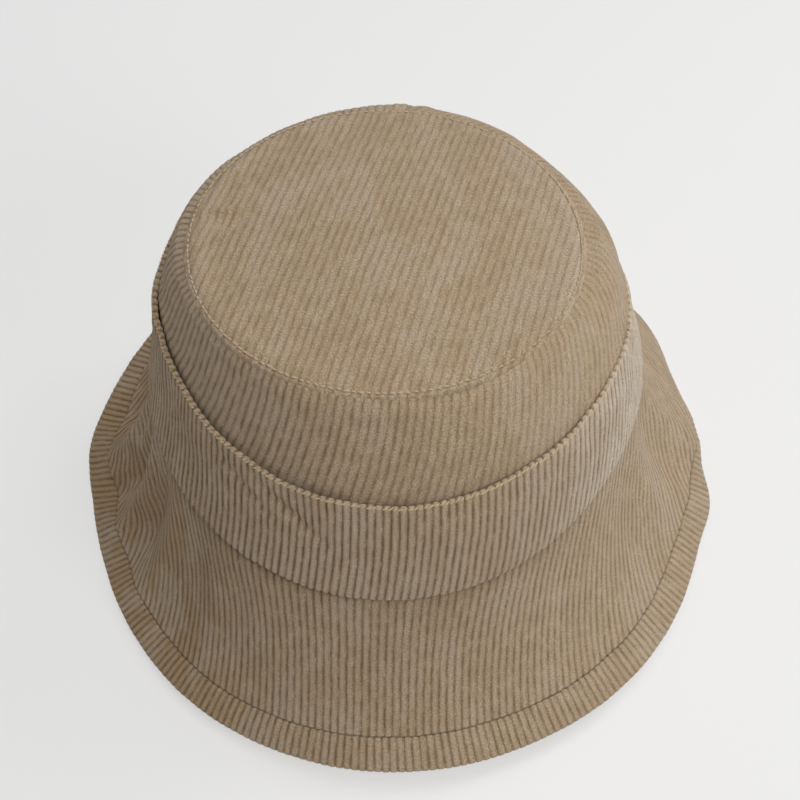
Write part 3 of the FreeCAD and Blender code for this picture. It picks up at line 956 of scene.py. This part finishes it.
def build_brim_face(name, node, face, side, seed):
    """Corduroy face of the brim; side is 1 for the top and -1 for the underside."""
    rows = np.linspace(0.0, 1.0, 80)
    across, along, angle, place, away = cut_grid(BRIM_CUT, rows, seed)
    height = pile(across, along, seed + 1, SOFT_RIDGE)
    turns = np.linspace(0.0, math.pi / 2.0, 6)[1:]
    roll_height, roll_ahead = rolled(height[:, -1], BRIM_ROLL, turns)
    count = len(turns) + 1
    full_angle, full_place, full_away = (with_last(grid, count) for grid in (angle, place, away))
    full_height = np.concatenate([height, roll_height, roll_height[:, -1:] - TUCK], 1)
    full_ahead = np.concatenate([np.zeros_like(height), roll_ahead, roll_ahead[:, -1:]], 1)
    full_ahead = (full_ahead - BRIM_ROLL) * np.clip(full_place / ROLL_FADE_PLACE, 0.0, 1.0)
    lift = brim_sag(full_angle, full_place) + side * seam_dip(full_away)
    if side > 0:
        lift = lift - JOINT_DIP * hump(full_place * BRIM_LENGTH, 0.0, JOINT_DIP_REACH)
    grid = laid(brim_face, full_angle, full_place, face + side * full_height + lift, full_ahead)
    ends = along[:, -1:] + np.linspace(0.0, TUCK_RUN, count + 1)[None, 1:]
    full_along = np.concatenate([along, ends], 1)
    full_across = np.repeat(across[:, :1], full_along.shape[1], 1)
    uv = (full_across / WALE + seed * LATTICE, full_along / WALE)
    piece = grid_object(name, grid, BRIM_CORDUROY, uv, flip=side > 0)
    return placed(piece, node)


INTERLINING_PLACES = (0.06, 0.95)


def build_brim_interlining():
    turn = np.linspace(-math.pi, math.pi, 721)
    angle, place = mesh_grid(turn, np.linspace(*INTERLINING_PLACES, 40))
    grid = laid(brim_face, angle, place, -STRIP_ROUND + brim_sag(angle, place))
    uv = (angle * ROUND_LENGTH / WALE, place * BRIM_LENGTH / WALE)
    piece = grid_object("brim_interlining_sheet", grid, STIFFENER_CLOTH, uv)
    return placed(piece, "brim_interlining")


RESTING_HEIGHT = 0.0002
STRIP_GAP = 0.0002
STRIP_ARM = 0.014
STRIP_PUFF, STRIP_PUFF_MIDDLE, STRIP_PUFF_REACH = 0.0005, 0.0065, 0.0045


def build_edge_strip():
    """Strip folded round the brim edge, its wales straight across it."""
    arm_rows, turn_rows = 12, 13
    inner_turns = np.linspace(-math.pi / 2.0, 0.0, 5)[:-1]
    outer_turns = np.linspace(0.0, math.pi, turn_rows)[1:-1]
    total = 2 * (len(inner_turns) + 1) + 2 * arm_rows + len(outer_turns)
    across, angle = strip_grid(brim_face, 1.0, total, math.pi)
    column_angle = angle[:, 0]
    _, _, _, length = directions(brim_face, column_angle, np.ones_like(column_angle))
    turn_place = 1.0 - STRIP_ROUND / length
    arm_share = np.linspace(0.0, 1.0, arm_rows)
    first = STRIP_SEAM_PLACE + (BRIM_ROLL + STRIP_GAP) / length
    arm = first[:, None] + (turn_place - first)[:, None] * arm_share[None, :]
    height = pile(across[:, :arm_rows], arm_share[None, :] * STRIP_ARM, 81, SOFT_RIDGE)
    inner_height, inner_ahead = rolled(height[:, 0], BRIM_ROLL, inner_turns)
    round_height, round_ahead = rolled(height[:, -1], STRIP_ROUND, outer_turns)
    count, turned = len(inner_turns), len(outer_turns)
    tuck_height = inner_height[:, :1] - TUCK
    top = [tuck_height, inner_height, height]
    under = [part[:, ::-1] for part in reversed(top)]
    heights = top + [round_height] + [-2.0 * STRIP_ROUND - part for part in under]
    zero = np.zeros_like(height)
    shift = [inner_ahead[:, :1], inner_ahead, zero]
    aheads = shift + [round_ahead] + [part[:, ::-1] for part in reversed(shift)]
    edge = [repeated(arm[:, 0], count + 1), arm]
    places = edge + [repeated(arm[:, -1], turned)] + [part[:, ::-1] for part in reversed(edge)]
    full_place = np.concatenate(places, 1)
    full_height = np.concatenate(heights, 1)
    full_ahead = np.concatenate(aheads, 1)
    past_seam = (full_place - STRIP_SEAM_PLACE) * BRIM_LENGTH
    puff = STRIP_PUFF * hump(past_seam, STRIP_PUFF_MIDDLE, STRIP_PUFF_REACH)
    sign = np.where(np.arange(total) < total / 2, 1.0, -1.0)[None, :]
    away = across[-1:, :] - np.abs(across)
    lift = brim_sag(angle, full_place) + sign * (puff + seam_dip(away))
    grid = laid(brim_face, angle, full_place, full_height + lift, full_ahead)
    grid[..., 2] = np.maximum(grid[..., 2], RESTING_HEIGHT)
    steps = np.linalg.norm(np.diff(grid, axis=1), axis=2).mean(0)
    run = np.concatenate([[0.0], np.cumsum(steps)])
    uv = (across / WALE + STRIP_UV, np.repeat(run[None, :], len(across), 0) / WALE)
    piece = grid_object("brim_edge_strip_cloth", grid, BRIM_CORDUROY, uv, flip=True)
    return placed(piece, "brim_edge_strip")


# ---------------------------------------------------------------- inside: sweatband and label
SWEATBAND_BASE_PLACE = 0.985
SWEATBAND_TURNOVER = 0.01
SWEATBAND_HALF = 0.0004
SWEATBAND_LOOSE = Sway(0.0004, 0.016, 0.03, 91)
SWEATBAND_STAND = 0.0005


def build_sweatband():
    """Ribbon sewn round the head opening, its two edges turned over."""
    turn = np.linspace(CROWN_TURN - math.pi, CROWN_TURN + math.pi, 481)
    low, high = SWEATBAND_TOP_PLACE, SWEATBAND_BASE_PLACE
    rows = np.linspace(low, high, 30)
    rows = np.concatenate([[low + SWEATBAND_TURNOVER], rows, [high - SWEATBAND_TURNOVER]])
    depth = np.full(len(rows), -SWEATBAND_HALF)
    depth[[0, -1]] = SWEATBAND_HALF
    angle, place = mesh_grid(turn, rows)
    around, down = angle * INNER_RADIUS, place * WALL_LENGTH
    loose = swayed([SWEATBAND_LOOSE], around, down) - SWEATBAND_LOOSE.height
    lift = INNER_SAG * wall_sag(angle, place) + loose - SWEATBAND_STAND
    grid = laid(crown_wall, angle, place, SWEATBAND_FACE + depth[None, :] + lift)
    piece = grid_object("sweatband_ribbon_sheet", grid, RIBBON, (around / WALE, down / WALE))
    return placed(piece, "sweatband")


LABEL_ANGLES = (math.radians(198.0), math.radians(212.0))
LABEL_PLACES = (0.44, 0.66)
LABEL_FRONT_FACE = -0.0041
LABEL_BACK_FACE = -0.0037
LABEL_CURL = 0.0022
LABEL_RIPPLE = 0.0003


def build_label():
    """Blank label, a folded loop of satin ribbon hanging inside the back of the crown."""
    angle, place = mesh_grid(np.linspace(*LABEL_ANGLES, 25), np.linspace(*LABEL_PLACES, 19))
    share = (place - LABEL_PLACES[0]) / (LABEL_PLACES[1] - LABEL_PLACES[0])
    curl = LABEL_CURL * share**2 + LABEL_RIPPLE * np.sin(share * 5.0 + angle * 9.0)
    front = laid(crown_wall, angle, place, LABEL_FRONT_FACE - curl)
    back = laid(crown_wall, angle, place, LABEL_BACK_FACE - curl)
    grid = np.concatenate([front, back[:, ::-1]], 1)
    u = np.concatenate([angle, angle], 1) * INNER_RADIUS / WALE
    v = np.concatenate([place, 2.0 - place[:, ::-1]], 1) * WALL_LENGTH / WALE
    piece = grid_object("care_label_ribbon", grid, LABEL_CLOTH, (u, v))
    return placed(piece, "care_label")


# ---------------------------------------------------------------- stitching
def stitch_row(name, node, surface, place, height, material, length, pitch, radius, **look):
    """Row of separate stitches round the hat.

    look: slant in degrees, arch as the rise of a stitch's middle, sag as a function of angle
    and place, and seam as the angle at which the row starts."""
    seam = look.get("seam", CROWN_TURN + math.pi)
    turn = np.linspace(seam - 2.0 * math.pi, seam, 3000)
    places = np.full_like(turn, place)
    lift = look["sag"](turn, places) if "sag" in look else 0.0 * turn
    line = laid(surface, turn, places, height + lift)
    run = np.concatenate([[0.0], np.cumsum(np.linalg.norm(np.diff(line, axis=0), axis=1))])
    count = int(run[-1] / pitch)
    middles = (np.arange(count) + 0.5) * run[-1] / count
    generator = np.random.default_rng(len(name))
    middles = middles + generator.uniform(-0.08, 0.08, count) * pitch
    angle = np.interp(middles, run, turn)
    spot = np.stack([np.interp(middles, run, line[:, axis]) for axis in range(3)], -1)
    normal, downhill, around, _ = directions(surface, angle, np.full_like(angle, place))
    slant = math.radians(look.get("slant", 0.0))
    slants = slant + generator.uniform(-0.2, 0.2, count)
    forward = around * np.cos(slants)[:, None] + downhill * np.sin(slants)[:, None]
    sideways = np.cross(normal, forward)
    spot = spot + sideways * generator.uniform(-0.00014, 0.00014, count)[:, None]
    reach = generator.uniform(0.42, 0.54, count)[:, None, None] * length
    knots, sides = 7, 8
    t = np.linspace(-1.0, 1.0, knots)
    arch = look.get("arch", 0.0003) * (1.0 - t**2)
    thick = radius * np.array([0.35, 0.8, 1.0, 1.0, 1.0, 0.8, 0.35])
    ring = np.arange(sides) * 2.0 * math.pi / sides
    centre = spot[:, None, :] + forward[:, None, :] * t[None, :, None] * reach
    centre = centre + normal[:, None, :] * arch[None, :, None]
    circle = (
        normal[:, None, None, :] * np.cos(ring)[None, None, :, None]
        + sideways[:, None, None, :] * np.sin(ring)[None, None, :, None]
    )
    points = centre[:, :, None, :] + circle * thick[None, :, None, None]
    strand = np.arange(count)[:, None, None] * knots * sides
    ring_of = np.arange(knots - 1)[None, :, None] * sides
    side = np.arange(sides)[None, None, :]
    beside = (side + 1) % sides
    base = strand + ring_of
    faces = np.stack([base + side, base + beside, base + beside + sides, base + side + sides], -1)
    uv_x = np.broadcast_to(t[None, :, None], points.shape[:3])
    uv_y = np.broadcast_to(ring[None, None, :] / math.pi, points.shape[:3])
    uv = np.stack([uv_x, uv_y], -1).reshape(-1, 2)
    piece = new_object(name, points.reshape(-1, 3), faces.reshape(-1, 4), uv, material)
    return placed(piece, node)


def build_stitching():
    stitch_row(
        "tip_stitches", "tip_stitch", tip_face, 1.0 - TIP_STITCH_INSET / TIP_SEAM.half_width,
        -0.0004, SEAM_THREAD, 0.0022, 0.0026, 0.00034, arch=0.0003,
    )
    top = BAND_TOP_PLACE - 0.0006 / WALL_LENGTH
    stitch_row(
        "band_top_stitches", "band_top_stitch", crown_wall, top,
        band_gap(BAND_TOP_PLACE) + BAND_FOLDED - 0.0005, EDGE_THREAD, 0.0023, 0.0018, 0.00031,
        slant=-32.0, arch=0.0003, sag=edge_stitch_lift,
    )
    # The band's base stitches are real; their near-black thread is painted shadow under the band's
    # edge.
    stitch_row(
        "band_base_stitches", "band_base_stitch", crown_wall, BAND_END + 0.0014 / WALL_LENGTH,
        AIR + 0.0010, PAINTED_SHADOW_THREAD, 0.0024, 0.0030, 0.00030,
        arch=0.0002, sag=band_lift,
    )
    # The edge strip's stitches are real; their darkened thread is painted shade in the ditch.
    stitch_row(
        "edge_strip_stitches", "edge_strip_stitch", brim_face, STRIP_SEAM_PLACE - 0.0001,
        -0.0015, DITCH_SHADE_THREAD, 0.0021, 0.0027, 0.00032, arch=0.0003, sag=brim_sag, seam=math.pi,
    )
    stitch_row(
        "sweatband_stitches", "sweatband_stitch", crown_wall, 0.972,
        SWEATBAND_FACE - 0.0012, SEAM_THREAD, 0.0022, 0.0032, 0.00025, arch=-0.0003,
    )


# ---------------------------------------------------------------- stage, light and camera
FLOOR_COLOUR = (0.35, 0.35, 0.35, 1.0)
FLOOR_GLOW = 0.50


def build_floor():
    size = 3.0
    corners = np.array([[-size, -size, 0], [size, -size, 0], [size, size, 0], [-size, size, 0]])
    floor = new_object("floor", corners, np.array([[0, 1, 2, 3]]))
    material, _, shader = new_material("floor_paper")
    shader.inputs["Base Color"].default_value = FLOOR_COLOUR
    shader.inputs["Roughness"].default_value = 0.9
    shader.inputs["Specular IOR Level"].default_value = 0.0
    shader.inputs["Emission Color"].default_value = (1.0, 1.0, 1.0, 1.0)
    shader.inputs["Emission Strength"].default_value = FLOOR_GLOW
    floor.data.materials.append(material)


def area_light(name, place, target, size, power, colour):
    light = bpy.data.lights.new(name, "AREA")
    light.shape = "SQUARE"
    light.size = size
    light.energy = power
    light.color = colour
    thing = bpy.data.objects.new(name, light)
    thing.location = place
    thing.rotation_euler = (Vector(target) - Vector(place)).to_track_quat("-Z", "Y").to_euler()
    bpy.context.scene.collection.objects.link(thing)


Lamp = namedtuple("Lamp", "name place size power colour")
LAMPS = (
    Lamp("top_light", (0.1, 0.2, 1.8), 1.2, 11.0, (1.0, 1.0, 1.0)),
    Lamp("key_light", (0.95, 0.55, 1.15), 0.7, 8.0, (1.0, 0.99, 0.97)),
    Lamp("right_light", (1.0, -0.9, 0.9), 0.7, 7.7, (1.0, 0.99, 0.97)),
    Lamp("front_light", (0.12, -0.80, 1.65), 0.42, 7.6, (1.0, 0.985, 0.96)),
)
WORLD_LIGHT = 0.06


def build_lights():
    for lamp in LAMPS:
        area_light(lamp.name, lamp.place, (0.0, 0.0, 0.08), lamp.size, lamp.power, lamp.colour)
    world = bpy.data.worlds.new("studio")
    world.use_nodes = True
    background = world.node_tree.nodes["Background"]
    background.inputs["Color"].default_value = (1.0, 1.0, 1.0, 1.0)
    background.inputs["Strength"].default_value = WORLD_LIGHT
    bpy.context.scene.world = world


CAMERA_HEIGHT = math.radians(53.4)
CAMERA_ROLL = math.radians(-1.88)
CAMERA_AWAY = 0.6377
CAMERA_TARGET = Vector((0.0032, -0.0015, 0.0539))
CAMERA_LENS = 69.1


def build_camera():
    camera = bpy.data.cameras.new("camera")
    camera.lens = CAMERA_LENS
    camera.sensor_width = 36.0
    camera.clip_start = 0.01
    thing = bpy.data.objects.new("camera", camera)
    back = Vector((0.0, -math.cos(CAMERA_HEIGHT), math.sin(CAMERA_HEIGHT)))
    turn = Matrix.Rotation(math.pi / 2.0 - CAMERA_HEIGHT, 4, "X")
    roll = Matrix.Rotation(CAMERA_ROLL, 4, "Z")
    thing.matrix_world = Matrix.Translation(CAMERA_TARGET + back * CAMERA_AWAY) @ turn @ roll
    bpy.context.scene.collection.objects.link(thing)
    bpy.context.scene.camera = thing


build_brim_interlining()
build_disc("tip_interlining_sheet", "tip_interlining", STIFFENER_CLOTH, -0.0021, 44)
build_wall_layer(
    "side_interlining_sheet", "side_interlining", STIFFENER_CLOTH,
    -0.0021, 0.02, 0.98, 0.0, 53,
)
build_crown_tip()
build_crown_side()
build_hat_band()
build_brim_face("brim_top_cloth", "brim_top", 0.0, 1.0, 71)
build_brim_face("brim_under_cloth", "brim_under", BRIM_UNDER_FACE, -1.0, 75)
build_edge_strip()
build_disc("lining_tip_cloth", "lining_tip", LINING_CLOTH, -0.0030, 45)
build_wall_layer(
    "lining_side_cloth", "lining_side", LINING_CLOTH, LINING_FACE, 0.02, 0.98, 0.0005, 54
)
build_sweatband()
build_label()
build_stitching()
build_floor()
build_lights()
build_camera()
bpy.context.scene.view_settings.view_transform = "Standard"
